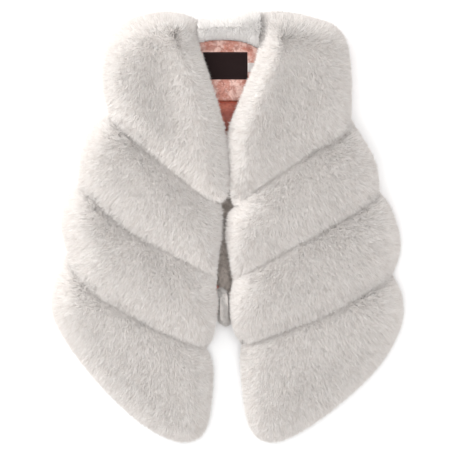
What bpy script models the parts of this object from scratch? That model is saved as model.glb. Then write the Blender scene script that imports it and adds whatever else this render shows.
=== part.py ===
"""Faux fur vest, laid flat on its back and seen from above.

Each front is four puffed fur strips sewn in a chevron. The fronts lie on the
lined back, and their outer ends, shoulders and pointed hems roll down past
its edge to the floor. A standing fur collar closes the back of the neck, and
the printed lining, a woven label and a size tag show in the neck opening.

Left and right are the wearer's, so the right front is at -X. Lengths are in
metres, tables are in millimetres. +Y runs from the hem to the collar, +Z is
up, and the origin is on the floor under the middle of the vest.
"""

import math

import bmesh
import bpy
import numpy as np

MM = 0.001

# Heights of the layers, from the floor up
BACK_THICK = 0.022
LAY_GAP = 0.0003
LINING_THICK = 0.0012
FRONT_REST = BACK_THICK + LINING_THICK + 2 * LAY_GAP

# The fronts come down past the back's edge, between these distances outside it
DRAPE_UNDER = (0.010, 0.045)
DRAPE_TOP = (-0.020, 0.070)

# Fur strips of the fronts: height over what they lie on
CROWN = 0.050
SEAM_HEIGHT = 0.027
SEAM_ROUND = 0.046
EDGE_LEVEL = 0.017
EDGE_BAND = 0.003
EDGE_ROUND = 0.034
UNDER_ROUND = 0.019
LAPEL_UNDER_ROUND = 0.030
SEAM_GAP = 0.0003

# The top strip of each front: a raised lapel and a shallow valley beside it
LAPEL_RISE = 0.007
LAPEL_IN = 0.030
LAPEL_HALF = 0.020
VALLEY_DEPTH = 0.008
VALLEY_HALF = 0.024

# Where the two fronts press on each other at the centre, their edges stand higher
TOUCH_LINE = [(0, 128), (3, 52)]
TOUCH_RISE = 0.014
TOUCH_HALF = 0.034

# Standing collar at the back of the neck
COLLAR_CROWN = 0.062
COLLAR_SEAM = 0.034
COLLAR_ROUND = 0.017

# Fur back, pressed flat
BACK_LEVEL = 0.010
BACK_ROUND = 0.016
BACK_UNDER_ROUND = 0.009

# Lining, which puffs up a little inside the neck opening
PUFF_RISE = 0.002
PUFF_CENTRE = (0.002, 0.232)
PUFF_HALF = (0.034, 0.040)
YOKE_SEAM_Y = 191
YOKE_HALF = 172

# Woven label and size tag
LABEL_SIZE = (0.067, 0.041)
LABEL_CENTRE = (-0.0035, 0.244)
LABEL_THICK = 0.0010
TAG_SIZE = (0.010, 0.014)
TAG_CENTRE = (0.0355, 0.2415)
TAG_THICK = 0.0008

# Curve across a front, from the side to the centre, in mm: x, y
RIGHT_LINES = {
    "shoulder": [(-179, 287), (-158, 310), (-131, 322), (-95, 328), (-65, 324), (-41, 313)],
    "seam_1": [(-181, 173), (-161, 154), (-131, 128), (-101, 102), (-71, 77), (-41, 51), (-8, 35)],
    "seam_2": [
        (-227, 68), (-194, 41), (-164, 11), (-131, -11), (-94, -32), (-46, -56), (-26, -71), (-16, -91),
    ],
    "seam_3": [(-244, -38), (-221, -71), (-199, -96), (-166, -114), (-124, -139), (-79, -163), (-29, -182)],
    "hem": [
        (-266, -133), (-248, -169), (-215, -215), (-176, -259),
        (-131, -299), (-94, -320), (-62, -328), (-37, -317),
    ],
}
LEFT_LINES = {
    "shoulder": [(179, 286), (163, 307), (136, 317), (101, 326), (71, 329), (46, 327)],
    "seam_1": [(187, 164), (176, 145), (146, 128), (109, 105), (79, 83), (46, 61), (8, 32)],
    "seam_2": [(230, 55), (199, 32), (161, 11), (109, -21), (56, -50), (7, -80)],
    "seam_3": [(251, -70), (217, -88), (169, -115), (116, -139), (64, -161), (19, -177)],
    "hem": [
        (264, -148), (247, -187), (217, -227), (176, -264), (136, -296), (97, -319), (67, -328), (43, -319),
    ],
}

# Points of a strip's armhole or side end, between its two lines, in mm: x, y
RIGHT_SIDES = [
    [(-188, 260), (-191, 229), (-188, 199)],
    [(-205, 152), (-220, 122), (-225, 92)],
    [(-245, 43), (-254, 11), (-251, -14)],
    [(-259, -71), (-268, -104)],
]
LEFT_SIDES = [
    [(185, 259), (188, 221), (188, 191)],
    [(205, 135), (223, 104), (229, 74)],
    [(247, 32), (260, -1), (264, -26), (259, -52)],
    [(263, -95), (268, -122)],
]

# Points of a strip's end at the centre front, between its two lines, in mm: x, y
RIGHT_CENTRES = [
    [(-35, 257), (-23, 217), (-13, 190), (-4, 152), (-0.5, 116), (2, 86), (3, 65), (1, 47)],
    [(-9, 4), (-11, -34), (-14, -67)],
    [(-12, -113), (-16, -146), (-21, -169)],
    [(-20, -205), (-20, -241), (-23, -275), (-28, -299)],
]
LEFT_CENTRES = [
    [(40, 247), (23, 209), (14, 184), (-1, 150), (1, 116), (3.5, 86), (4.5, 65), (4.5, 47)],
    [(0, 13), (-2, -13), (0, -44), (4, -67)],
    [(2, -103), (2, -130), (7, -155)],
    [(17, -203), (20, -241), (24, -275), (31, -302)],
]

# Where the neck seam meets each front, and the valley beside each lapel, in mm
RIGHT_NECK = (-44, 280)
LEFT_NECK = (47, 271)
RIGHT_VALLEY = [(-96, 256), (-88, 146)]
LEFT_VALLEY = [(110, 232), (92, 150)]

# The collar's outer edge and the neck seam, right to left, in mm
COLLAR_TOP = [(-41, 313), (-22, 311), (1, 315), (23, 322), (46, 327)]
NECK_SEAM = [RIGHT_NECK, (-23, 284), (1, 284), (26, 281), LEFT_NECK]

# The back's outline, in mm: armhole edges nearly reach the fronts' edges, and
# the shoulders and sides stay inside the fur that rolls round them
BACK_SHOULDER_RIGHT = [(-173, 242), (-149, 271), (-116, 286), (-79, 287), (-56, 283)]
BACK_SHOULDER_LEFT = [(64, 280), (94, 286), (131, 278), (158, 263), (173, 242)]
BACK_SIDE_RIGHT = [
    (-173, 242), (-185, 221), (-178, 173), (-212, 124), (-221, 74),
    (-215, 41), (-211, 4), (-205, -37), (-224, -94), (-224, -127),
]
BACK_SIDE_LEFT = [
    (173, 242), (182, 218), (181, 166), (217, 110), (224, 59),
    (217, 34), (221, -11), (211, -67), (226, -103), (224, -127),
]
BACK_HEM = [(-224, -127), (-161, -136), (-71, -140), (1, -141), (79, -140), (161, -136), (224, -127)]
NECK_GAP = 0.0005

# The lining's two pieces inside the back, in mm
YOKE_SHOULDER_RIGHT = [(-158, 236), (-110, 264), (-64, 274)]
YOKE_SHOULDER_LEFT = [(66, 268), (110, 262), (158, 236)]
BODY_SIDE_RIGHT = [
    (-172, 191), (-169, 165), (-202, 118), (-210, 74), (-202, 4), (-196, -38), (-212, -92), (-212, -118),
]
BODY_SIDE_LEFT = [
    (172, 191), (172, 160), (206, 106), (213, 60), (210, -12), (202, -67), (214, -102), (212, -118),
]
BODY_HEM = [(-212, -118), (-71, -130), (79, -130), (212, -118)]

# Facing of the right front, in two pieces joined by a slanting seam, in mm
FACING_HIGH_RIGHT = [(-9, 54), (-12, 22), (-14, -30), (-17, -68), (-19, -80)]
FACING_HIGH_LEFT = [(7, 54), (6, 22), (2, -13), (3, -44), (7, -68), (6, -100)]
FACING_LOW_RIGHT = [(-13, -91), (-10.5, -112), (-12, -141)]
FACING_LOW_LEFT = [(1, -101), (0, -116), (1.5, -148)]
FACING_HIGH_CROWN = 0.009
FACING_HIGH_ROUND = 0.013
FACING_LOW_CROWN = 0.027
FACING_LOW_ROUND = 0.006
FACING_BAND = 0.0015

# Mesh cells: across a strip's length and width, or a piece's width and length
STRIP_ROWS = 15
STRIP_COLUMNS = 11
TOP_STRIP_COLUMNS = 13
COLLAR_END_STEPS = 3
NECK_ROWS = 9
SHOULDER_ROWS = 5
COLLAR_COLUMNS = 9
BACK_COLUMNS = 17
YOKE_COLUMNS = 8
BODY_GRID = (11, 13)
FACING_GRID = (5, 9)
LABEL_CELLS = (8, 4)
TAG_CELLS = (2, 3)

# How much a grid's lines crowd towards a piece's edges, from 0 to 1
CROWDING = 0.65
CREASE_ANGLE = math.radians(50)

# Base colour and roughness of each material
FINISHES = {
    "front_fur": ((0.80, 0.77, 0.74, 1.0), 0.9),
    "back_fur": ((0.78, 0.75, 0.72, 1.0), 0.9),
    "collar_fur": ((0.81, 0.78, 0.76, 1.0), 0.9),
    "facing_fur": ((0.52, 0.48, 0.45, 1.0), 0.9),
    "printed_lining": ((0.50, 0.24, 0.18, 1.0), 0.45),
    "black_label": ((0.02, 0.015, 0.018, 1.0), 0.6),
    "white_tag": ((0.85, 0.82, 0.80, 1.0), 0.6),
}


def spline(points, samples=24):
    """Smooth curve through the points, as a dense polyline."""
    p = np.array(points, float)
    if len(p) == 2:
        return p[0] + np.linspace(0, 1, samples)[:, None] * (p[1] - p[0])
    padded = np.vstack([2 * p[0] - p[1], p, 2 * p[-1] - p[-2]])
    pieces = []
    for a, b, c, d in zip(padded, padded[1:], padded[2:], padded[3:]):
        t = np.linspace(0, 1, samples, endpoint=False)[:, None]
        bend = (2 * a - 5 * b + 4 * c - d) * t**2 + (3 * b - a - 3 * c + d) * t**3
        pieces.append(0.5 * (2 * b + (c - a) * t + bend))
    return np.vstack([*pieces, p[-1:]])


def shares_of(line):
    """How far along a polyline each of its points is, from 0 to 1."""
    steps = np.linalg.norm(np.diff(line, axis=0), axis=1)
    along = np.concatenate([[0], np.cumsum(steps)])
    return along / along[-1]


def placed(line, shares):
    """Points at these shares of a polyline's length."""
    along = shares_of(line)
    return np.stack([np.interp(shares, along, line[:, k]) for k in range(2)], axis=1)


def eased(count):
    """Shares from 0 to 1 that crowd towards both ends, where a strip rounds down."""
    t = np.linspace(0, 1, count)
    return (1 - CROWDING) * t + CROWDING * (0.5 - 0.5 * np.cos(math.pi * t))


def patch(top, bottom, side, centre):
    """Plan of a four-sided piece: rows run from side to centre, columns from top to bottom."""
    u = shares_of(top)[:, None, None]
    v = eased(len(side))[None, :, None]
    ruled = (1 - v) * top[:, None] + v * bottom[:, None] + (1 - u) * side[None] + u * centre[None]
    corners = (
        (1 - u) * (1 - v) * top[0] + u * (1 - v) * top[-1]
        + (1 - u) * v * bottom[0] + u * v * bottom[-1]
    )
    return ruled - corners


def distance(points, line):
    """Shortest plan distance from each point to a polyline."""
    best = np.full(points.shape[:-1], np.inf)
    for a, b in zip(line, line[1:]):
        run = b - a
        share = np.clip(((points - a) @ run) / max(run @ run, 1e-12), 0, 1)
        best = np.minimum(best, np.linalg.norm(points - a - share[..., None] * run, axis=-1))
    return best


def inside(points, ring):
    """Whether each point is inside a closed polyline."""
    crossings = np.zeros(points.shape[:-1], int)
    x, y = points[..., 0], points[..., 1]
    for (ax, ay), (bx, by) in zip(ring, np.roll(ring, -1, axis=0)):
        spans = (ay > y) != (by > y)
        at = ax + (y - ay) * (bx - ax) / np.where(by == ay, 1e-12, by - ay)
        crossings += spans & (x < at)
    return crossings % 2 == 1


def rounded(far, radius):
    """0 at an edge, rising along a quarter circle to 1 at the radius."""
    t = np.clip(far / radius, 0, 1)
    return np.sqrt(1 - (1 - t) ** 2)


def smooth_step(t):
    """0 to 1 with level ends."""
    t = np.clip(t, 0, 1)
    return t * t * (3 - 2 * t)


def hill(far, half):
    """Bell of height 1 over a line, this wide at about a third of its height."""
    return np.exp(-((far / half) ** 2))


def metres(points):
    """A table's points, in metres."""
    return np.array(points, float) * MM


def neck_row():
    """The neck seam's points, shared by the collar, the back and the lining."""
    return placed(spline(metres(NECK_SEAM)), eased(NECK_ROWS))


def neck_edge(right, left, gap):
    """Top edge of a piece, from shoulder to shoulder, this far below the neck seam."""
    seam = neck_row() - np.array([0, gap])
    shares = np.linspace(0, 1, SHOULDER_ROWS + 1)
    right_part = placed(spline(np.vstack([metres(right), seam[:1]])), shares)
    left_part = placed(spline(np.vstack([seam[-1:], metres(left)])), shares)
    return np.vstack([right_part[:-1], seam, left_part[1:]])


def back_ring():
    """The back's closed outline."""
    top = neck_edge(BACK_SHOULDER_RIGHT, BACK_SHOULDER_LEFT, NECK_GAP)
    left = spline(metres(BACK_SIDE_LEFT))
    hem = spline(metres(BACK_HEM))
    right = spline(metres(BACK_SIDE_RIGHT))
    return np.vstack([top, left[1:], hem[::-1][1:], right[::-1][1:-1]])


BACK_RING = back_ring()


def rest_height(points, drape):
    """Height of what the fronts lie on: the lined back, then down to the floor past its edge."""
    begin, end = drape
    out = distance(points, np.vstack([BACK_RING, BACK_RING[:1]]))
    out = np.where(inside(points, BACK_RING), -out, out)
    return FRONT_REST * (1 - smooth_step((out - begin) / (end - begin)))


def material(name):
    """One of the vest's finishes."""
    colour, roughness = FINISHES[name]
    made = bpy.data.materials.get(name) or bpy.data.materials.new(name)
    made.use_nodes = True
    shader = made.node_tree.nodes["Principled BSDF"]
    shader.inputs["Base Color"].default_value = colour
    shader.inputs["Roughness"].default_value = roughness
    shader.inputs["Metallic"].default_value = 0.0
    return made


def added(name, mesh, finish):
    """The mesh as a named piece of the vest."""
    piece = bpy.data.objects.new(name, mesh)
    VEST.objects.link(piece)
    mesh.materials.append(material(finish))
    mesh.shade_smooth()
    mesh.set_sharp_from_angle(angle=CREASE_ANGLE)
    return piece


def pad(name, plan, top, bottom, finish):
    """Closed pad between two heights over one plan, with a wall round its edge."""
    rows, columns = plan.shape[:2]
    bm = bmesh.new()
    layers = []
    for height in (bottom, top):
        grid = [[bm.verts.new((*plan[i, j], height[i, j])) for j in range(columns)] for i in range(rows)]
        layers.append(grid)
        for i in range(rows - 1):
            for j in range(columns - 1):
                bm.faces.new((grid[i][j], grid[i + 1][j], grid[i + 1][j + 1], grid[i][j + 1]))
    rim = [(i, 0) for i in range(rows)] + [(rows - 1, j) for j in range(1, columns)]
    rim += [(i, columns - 1) for i in range(rows - 2, -1, -1)] + [(0, j) for j in range(columns - 2, 0, -1)]
    low, high = layers
    for (i, j), (k, m) in zip(rim, rim[1:] + rim[:1]):
        bm.faces.new((low[i][j], low[k][m], high[k][m], high[i][j]))
    bmesh.ops.recalc_face_normals(bm, faces=bm.faces)
    mesh = bpy.data.meshes.new(name)
    bm.to_mesh(mesh)
    bm.free()
    return added(name, mesh, finish)


def sheet(name, plan, height, thick, finish):
    """Cloth wall that stands this thick on a height over its plan."""
    rows, columns = plan.shape[:2]
    bm = bmesh.new()
    grid = [[bm.verts.new((*plan[i, j], height[i, j])) for j in range(columns)] for i in range(rows)]
    for i in range(rows - 1):
        for j in range(columns - 1):
            bm.faces.new((grid[i][j], grid[i + 1][j], grid[i + 1][j + 1], grid[i][j + 1]))
    bmesh.ops.recalc_face_normals(bm, faces=bm.faces)
    if sum(face.normal.z for face in bm.faces) < 0:
        bmesh.ops.reverse_faces(bm, faces=bm.faces)
    mesh = bpy.data.meshes.new(name)
    bm.to_mesh(mesh)
    bm.free()
    piece = added(name, mesh, finish)
    wall = piece.modifiers.new("wall", "SOLIDIFY")
    wall.thickness = thick
    wall.offset = 1.0
    return piece


def pulled_in(plan, top_gap, bottom_gap, side_gap, centre_gap):
    """The plan with its four edges moved inwards by these gaps."""
    moved = plan.copy()
    edges = (
        (np.s_[:, 0], np.s_[:, 1], top_gap),
        (np.s_[:, -1], np.s_[:, -2], bottom_gap),
        (np.s_[0, :], np.s_[1, :], side_gap),
        (np.s_[-1, :], np.s_[-2, :], centre_gap),
    )
    for edge, inner, gap in edges:
        if gap:
            along = np.gradient(plan[edge], axis=0)
            across = np.stack([-along[:, 1], along[:, 0]], axis=1)
            across /= np.linalg.norm(across, axis=1)[:, None]
            across *= np.sign(((plan[inner] - plan[edge]) * across).sum(1))[:, None]
            moved[edge] += gap * across
    return moved


def fur_heights(plan, seams, free, heights, rounds, rests):
    """Top and underside of a puffed strip, from its distances to its seams and its free edges."""
    crown, seam_height, level = heights
    seam_round, edge_round, under_round = rounds
    rest, top_rest = rests
    dome = np.ones(plan.shape[:2])
    for line in seams:
        dome = dome * rounded(distance(plan, line), seam_round)
    far = np.min([distance(plan, line) for line in free], axis=0)
    body = top_rest + seam_height + (crown - seam_height) * dome
    edge = rest + level + EDGE_BAND / 2
    top = edge + (body - edge) * rounded(far, edge_round)
    under = rest + (level - EDGE_BAND / 2) * (1 - rounded(far, under_round))
    return top, under


def centre_row_by_collar(neck_end, edge, shares):
    """Points down the top strip's centre end: first along the collar's end, then down the lapel."""
    steps = COLLAR_END_STEPS
    by_collar = placed(neck_end, shares[: steps + 1] / shares[steps])
    by_lapel = placed(edge, (shares[steps:] - shares[steps]) / (1 - shares[steps]))
    return np.vstack([by_collar, by_lapel[1:]])


def front_strip(name, number, lines, sides, centres, neck, valley):
    """One puffed strip of a front, between two of its lines."""
    first, last = list(lines.values())[number : number + 2]
    is_top, is_hem = number == 0, number == len(lines) - 2
    rows, shares = eased(STRIP_ROWS), eased(TOP_STRIP_COLUMNS if is_top else STRIP_COLUMNS)
    head, foot = spline(metres(first)), spline(metres(last))
    side = spline(metres([first[0], *sides[number], last[0]]))
    neck_end = metres([first[-1], neck])
    edge = spline(metres([neck if is_top else first[-1], *centres[number], last[-1]]))
    centre_row = centre_row_by_collar(neck_end, edge, shares) if is_top else placed(edge, shares)
    plan = patch(placed(head, rows), placed(foot, rows), placed(side, shares), centre_row)
    seams, free = [], [side, edge]
    (free if is_top else seams).append(head)
    (free if is_hem else seams).append(foot)
    if is_top:
        seams.append(neck_end)
    crown = np.full(plan.shape[:2], CROWN)
    level = np.full(plan.shape[:2], EDGE_LEVEL)
    if is_top:
        crown += LAPEL_RISE * hill(distance(plan, edge) - LAPEL_IN, LAPEL_HALF)
        crown -= VALLEY_DEPTH * hill(distance(plan, metres(valley)), VALLEY_HALF)
        level += TOUCH_RISE * hill(distance(plan, metres(TOUCH_LINE)), TOUCH_HALF)
    rounds = SEAM_ROUND, EDGE_ROUND, LAPEL_UNDER_ROUND if is_top else UNDER_ROUND
    rests = rest_height(plan, DRAPE_UNDER), rest_height(plan, DRAPE_TOP)
    top, under = fur_heights(plan, seams, free, (crown, SEAM_HEIGHT, level), rounds, rests)
    half = SEAM_GAP / 2
    plan = pulled_in(plan, 0 if is_top else half, 0 if is_hem else half, 0, half if is_top else 0)
    return pad(name, plan, top, under, "front_fur")


def collar():
    """Standing fur collar, from the neck seam out to the top of the vest."""
    head, foot = spline(metres(COLLAR_TOP)), neck_row()
    ends = [metres([COLLAR_TOP[k], NECK_SEAM[k]]) for k in (0, -1)]
    shares = eased(COLLAR_COLUMNS)
    plan = patch(placed(head, eased(NECK_ROWS)), foot, placed(ends[0], shares), placed(ends[1], shares))
    heights = COLLAR_CROWN, COLLAR_SEAM, EDGE_LEVEL
    rounds = COLLAR_ROUND, COLLAR_ROUND, UNDER_ROUND
    top, under = fur_heights(plan, [foot], [head], heights, rounds, (0.0, 0.0))
    plan = pulled_in(plan, 0, 0, SEAM_GAP / 2, SEAM_GAP / 2)
    return pad("neck_collar", plan, top, under, "collar_fur")


def back():
    """Fur back, face down, pressed flat by the fronts."""
    shares = eased(BACK_COLUMNS)
    head = neck_edge(BACK_SHOULDER_RIGHT, BACK_SHOULDER_LEFT, NECK_GAP)
    hem = spline(metres(BACK_HEM))
    right, left = spline(metres(BACK_SIDE_RIGHT)), spline(metres(BACK_SIDE_LEFT))
    plan = patch(head, placed(hem, shares_of(head)), placed(right, shares), placed(left, shares))
    far = np.min([distance(plan, line) for line in (head, hem, right, left)], axis=0)
    low = BACK_LEVEL - EDGE_BAND / 2
    high = BACK_LEVEL + EDGE_BAND / 2
    top = high + (BACK_THICK - high) * rounded(far, BACK_ROUND)
    under = low * (1 - rounded(far, BACK_UNDER_ROUND))
    return pad("back_panel", plan, top, under, "back_fur")


def lining_height(points):
    """The lining's underside: flat on the back, puffed up in the neck opening."""
    off = (points - np.array(PUFF_CENTRE)) / np.array(PUFF_HALF)
    return BACK_THICK + LAY_GAP + PUFF_RISE * np.exp(-((off**2).sum(-1)) ** 1.5)


def lining_pieces():
    """Lining of the back: a yoke under the neck and the body below it."""
    yoke_top = neck_edge(YOKE_SHOULDER_RIGHT, YOKE_SHOULDER_LEFT, 2 * NECK_GAP)
    yoke_bottom = spline(metres([(-YOKE_HALF, YOKE_SEAM_Y), (YOKE_HALF, YOKE_SEAM_Y)]))
    shares = eased(YOKE_COLUMNS)
    sides = [spline(np.array([yoke_top[k], yoke_bottom[k]])) for k in (0, -1)]
    side_rows = [placed(line, shares) for line in sides]
    plan = patch(yoke_top, placed(yoke_bottom, shares_of(yoke_top)), *side_rows)
    plan = pulled_in(plan, 0, SEAM_GAP / 2, 0, 0)
    sheet("lining_yoke", plan, lining_height(plan), LINING_THICK, "printed_lining")
    across, down = map(eased, BODY_GRID)
    right, left = spline(metres(BODY_SIDE_RIGHT)), spline(metres(BODY_SIDE_LEFT))
    hem = spline(metres(BODY_HEM))
    plan = patch(placed(yoke_bottom, across), placed(hem, across), placed(right, down), placed(left, down))
    plan = pulled_in(plan, SEAM_GAP / 2, 0, 0, 0)
    flat = np.full(plan.shape[:2], BACK_THICK + LAY_GAP)
    sheet("lining_body", plan, flat, LINING_THICK, "printed_lining")


def facing(name, right, left, crown, radius):
    """Fur facing that fills the gap between the two fronts."""
    across, down = map(eased, FACING_GRID)
    sides = spline(metres(right)), spline(metres(left))
    ends = [spline(np.array([sides[0][k], sides[1][k]])) for k in (0, -1)]
    end_rows = [placed(line, across) for line in ends]
    plan = patch(*end_rows, *[placed(line, down) for line in sides])
    far = np.min([distance(plan, line) for line in (*sides, *ends)], axis=0)
    top = FRONT_REST + FACING_BAND + (crown - FACING_BAND) * rounded(far, radius)
    under = np.full(plan.shape[:2], FRONT_REST)
    return pad(name, plan, top, under, "facing_fur")


def oblong(name, size, centre, cells, thick, finish):
    """Small woven piece sewn on the lining, which follows its puffed form."""
    across = np.linspace(-size[0] / 2, size[0] / 2, cells[0] + 1)
    down = np.linspace(size[1] / 2, -size[1] / 2, cells[1] + 1)
    plan = np.stack(np.meshgrid(across, down, indexing="ij"), axis=-1) + np.array(centre)
    return sheet(name, plan, lining_height(plan) + LINING_THICK + LAY_GAP, thick, finish)


def clear_scene():
    """Removes what the scene holds."""
    for old in list(bpy.data.objects):
        bpy.data.objects.remove(old)


clear_scene()
VEST = bpy.data.collections.new("faux_fur_vest")
bpy.context.scene.collection.children.link(VEST)

back()
lining_pieces()
for strip in range(len(RIGHT_SIDES)):
    right = RIGHT_LINES, RIGHT_SIDES, RIGHT_CENTRES, RIGHT_NECK, RIGHT_VALLEY
    front_strip(f"right_front_{strip + 1}", strip, *right)
    left = LEFT_LINES, LEFT_SIDES, LEFT_CENTRES, LEFT_NECK, LEFT_VALLEY
    front_strip(f"left_front_{strip + 1}", strip, *left)
collar()
facing("front_facing_high", FACING_HIGH_RIGHT, FACING_HIGH_LEFT, FACING_HIGH_CROWN, FACING_HIGH_ROUND)
facing("front_facing_low", FACING_LOW_RIGHT, FACING_LOW_LEFT, FACING_LOW_CROWN, FACING_LOW_ROUND)
oblong("neck_label", LABEL_SIZE, LABEL_CENTRE, LABEL_CELLS, LABEL_THICK, "black_label")
oblong("size_tag", TAG_SIZE, TAG_CENTRE, TAG_CELLS, TAG_THICK, "white_tag")
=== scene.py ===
"""Looks of a faux fur vest that lies flat, front up.

Every fur piece is a pelt sunk under its solid by the depth of the pile, with
hairs standing on it whose tips reach the solid's surface. The lining, the
woven label and the size tag are thin cloth on their solids. Lengths are in
metres unless a name says otherwise. +Y runs from the hem to the collar, +Z
is up, and the wearer's right is at -X.
"""

import logging
import math
from collections.abc import Callable
from dataclasses import dataclass
from enum import Enum

import bmesh
import bpy
import numpy as np
from bmesh.types import BMesh, BMFace
from bpy.types import Material, Mesh, NodeSocket, Object
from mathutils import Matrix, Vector
from mathutils.bvhtree import BVHTree


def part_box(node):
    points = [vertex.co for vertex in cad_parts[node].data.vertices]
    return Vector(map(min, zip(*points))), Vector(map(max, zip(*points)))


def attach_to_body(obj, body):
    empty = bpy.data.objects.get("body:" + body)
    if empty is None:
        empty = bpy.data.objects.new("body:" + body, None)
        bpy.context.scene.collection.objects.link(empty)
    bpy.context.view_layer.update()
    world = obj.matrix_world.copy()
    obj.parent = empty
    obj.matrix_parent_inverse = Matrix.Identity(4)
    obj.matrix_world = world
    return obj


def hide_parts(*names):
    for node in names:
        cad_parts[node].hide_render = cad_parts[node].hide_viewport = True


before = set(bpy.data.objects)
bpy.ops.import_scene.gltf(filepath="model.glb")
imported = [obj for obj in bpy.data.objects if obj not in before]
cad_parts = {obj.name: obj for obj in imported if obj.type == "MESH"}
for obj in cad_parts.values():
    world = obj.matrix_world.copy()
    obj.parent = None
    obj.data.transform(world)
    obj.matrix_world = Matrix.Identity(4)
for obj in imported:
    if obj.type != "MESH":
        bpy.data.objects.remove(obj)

LOG = logging.getLogger("faux_fur_vest")
MM = 0.001
BODY = "root"
MERGE = 1e-5
TINY = 1e-12
SAME_PLACE = 1e-6
CELL_ANGLE = math.radians(60)
FUR_UV = "OFBake"
HAIR_UV = "hair_uv"
PELT_DATA = ("hair", "growth", "loose", "facing")

Array = np.ndarray
Colour = tuple[float, float, float]
Setting = bool | int | float | str | tuple | None


class Comb(Enum):
    """How a piece's pile is brushed."""

    TO_SEAMS = "down and outwards, over the seams"
    STRAIGHT = "straight out of the pelt"


class Side(Enum):
    """Front of the vest, by the wearer's side."""

    RIGHT = -1
    LEFT = 1


# Node trees


def operator(operation: str, swapped: bool = False) -> Callable:
    """A method that adds a Math node on a value and another number, or on them swapped."""
    def method(value: "Value", other: "Value | float") -> "Value":
        """Adds the node."""
        return value.maths(operation, *((other, value) if swapped else (value, other)))
    return method


class Value:
    """Output socket of a node, whose operators add Math nodes."""

    def __init__(self, graph: "Graph", socket: NodeSocket) -> None:
        """Wraps a socket of a graph's tree."""
        self.graph = graph
        self.socket = socket

    def also(self, output: int | str) -> "Value":
        """Another output of the same node."""
        return Value(self.graph, Graph.find(self.socket.node.outputs, output))

    def maths(self, operation: str, *numbers: "Value | float") -> "Value":
        """Adds a Math node on these numbers."""
        return self.graph.add("ShaderNodeMath", {"operation": operation}, dict(enumerate(numbers)))

    __add__ = operator("ADD")
    __radd__ = operator("ADD", swapped=True)
    __sub__ = operator("SUBTRACT")
    __rsub__ = operator("SUBTRACT", swapped=True)
    __mul__ = operator("MULTIPLY")
    __gt__ = operator("GREATER_THAN")
    __lt__ = operator("LESS_THAN")


class Graph:
    """Node tree of a material, a world or a modifier."""

    def __init__(self, tree: bpy.types.NodeTree) -> None:
        """Starts on an empty tree."""
        self.tree = tree
        tree.nodes.clear()

    @staticmethod
    def find(sockets: bpy.types.bpy_prop_collection, key: int | str) -> NodeSocket:
        """A socket by its place, its identifier or its name."""
        if isinstance(key, int):
            return sockets[key]
        by_identifier = [s for s in sockets if s.identifier == key]
        return (by_identifier or [s for s in sockets if s.name == key])[0]

    def add(
        self,
        kind: str,
        settings: dict[str, Setting] | None = None,
        values: dict[int | str, "Value | Setting"] | None = None,
        output: int | str = 0,
    ) -> Value:
        """Adds a node.

        Args:
            kind: The node's type.
            settings: Its properties, which are set first. "stops" are a ramp's places and colours.
            values: Its inputs, by place, identifier or name, as numbers or links.
            output: The output that is wanted.

        Returns:
            That output.
        """
        node = self.tree.nodes.new(kind)
        for name, setting in (settings or {}).items():
            if name == "stops":
                self.set_stops(node.color_ramp, setting)
            else:
                setattr(node, name, setting)
        for key, value in (values or {}).items():
            socket = self.find(node.inputs, key)
            if isinstance(value, Value):
                self.tree.links.new(value.socket, socket)
            else:
                socket.default_value = value
        return Value(self, self.find(node.outputs, output) if len(node.outputs) else node.inputs[0])

    @staticmethod
    def set_stops(ramp: bpy.types.ColorRamp, stops: tuple) -> None:
        """Gives a ramp its stops, each a place and a grey value."""
        while len(ramp.elements) < len(stops):
            ramp.elements.new(0.5)
        for element, (place, grey) in zip(ramp.elements, stops):
            element.position = place
            element.color = (grey, grey, grey, 1.0)

    def ramp(self, factor: Value, *stops: tuple[float, float]) -> Value:
        """Grey ramp over a value."""
        return self.add("ShaderNodeValToRGB", {"stops": stops}, {"Fac": factor})

    def mix(self, share: Value | float, first: Value | Colour, second: Value | Colour) -> Value:
        """Blend of two colours."""
        colours = [c if isinstance(c, Value) else (*c, 1.0) for c in (first, second)]
        values = {"Factor_Float": share, "A_Color": colours[0], "B_Color": colours[1]}
        return self.add("ShaderNodeMix", {"data_type": "RGBA"}, values, "Result_Color")

    def vector(self, operation: str, first: Value | tuple, second: Value | tuple) -> Value:
        """Vector Math node on two vectors."""
        return self.add("ShaderNodeVectorMath", {"operation": operation}, {0: first, 1: second})

    def scaled(self, vector: Value, by: Value | float) -> Value:
        """A vector times a number."""
        values = {"Vector": vector, "Scale": by}
        return self.add("ShaderNodeVectorMath", {"operation": "SCALE"}, values)

    def noise(self, where: Value, scale: Value | float, detail: float = 2.0,
              output: str = "Fac") -> Value:
        """Noise texture, this many features to the metre."""
        values = {"Vector": where, "Scale": scale, "Detail": detail}
        return self.add("ShaderNodeTexNoise", {}, values, output)

    def bands(self, where: Value, way: str, scale: float, distortion: float) -> Value:
        """Texture of parallel waves."""
        values = {"Vector": where, "Scale": scale, "Distortion": distortion}
        return self.add("ShaderNodeTexWave", {"wave_type": "BANDS", "bands_direction": way}, values)

    def split(self, vector: Value) -> Value:
        """A vector's X, with Y and Z as its other outputs."""
        return self.add("ShaderNodeSeparateXYZ", {}, {"Vector": vector})

    def place(self) -> Value:
        """A point's place on the object that is shaded."""
        return self.add("ShaderNodeTexCoord", {}, {}, "Object")

    def attribute(self, name: str, kind: str = "FLOAT") -> Value:
        """A named attribute of the geometry."""
        return self.add("GeometryNodeInputNamedAttribute", {"data_type": kind}, {"Name": name})

    def bump(self, strength: float, distance: float, height: Value) -> Value:
        """The shading normal, bent by a height."""
        values = {"Strength": strength, "Distance": distance, "Height": height}
        return self.add("ShaderNodeBump", {}, values)

    def close(self, values: dict[str, "Value | Setting"]) -> None:
        """Ends a material in a Principled shader with these values."""
        shader = self.add("ShaderNodeBsdfPrincipled", {}, values)
        self.add("ShaderNodeOutputMaterial", {}, {"Surface": shader})


# Finishes


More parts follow.
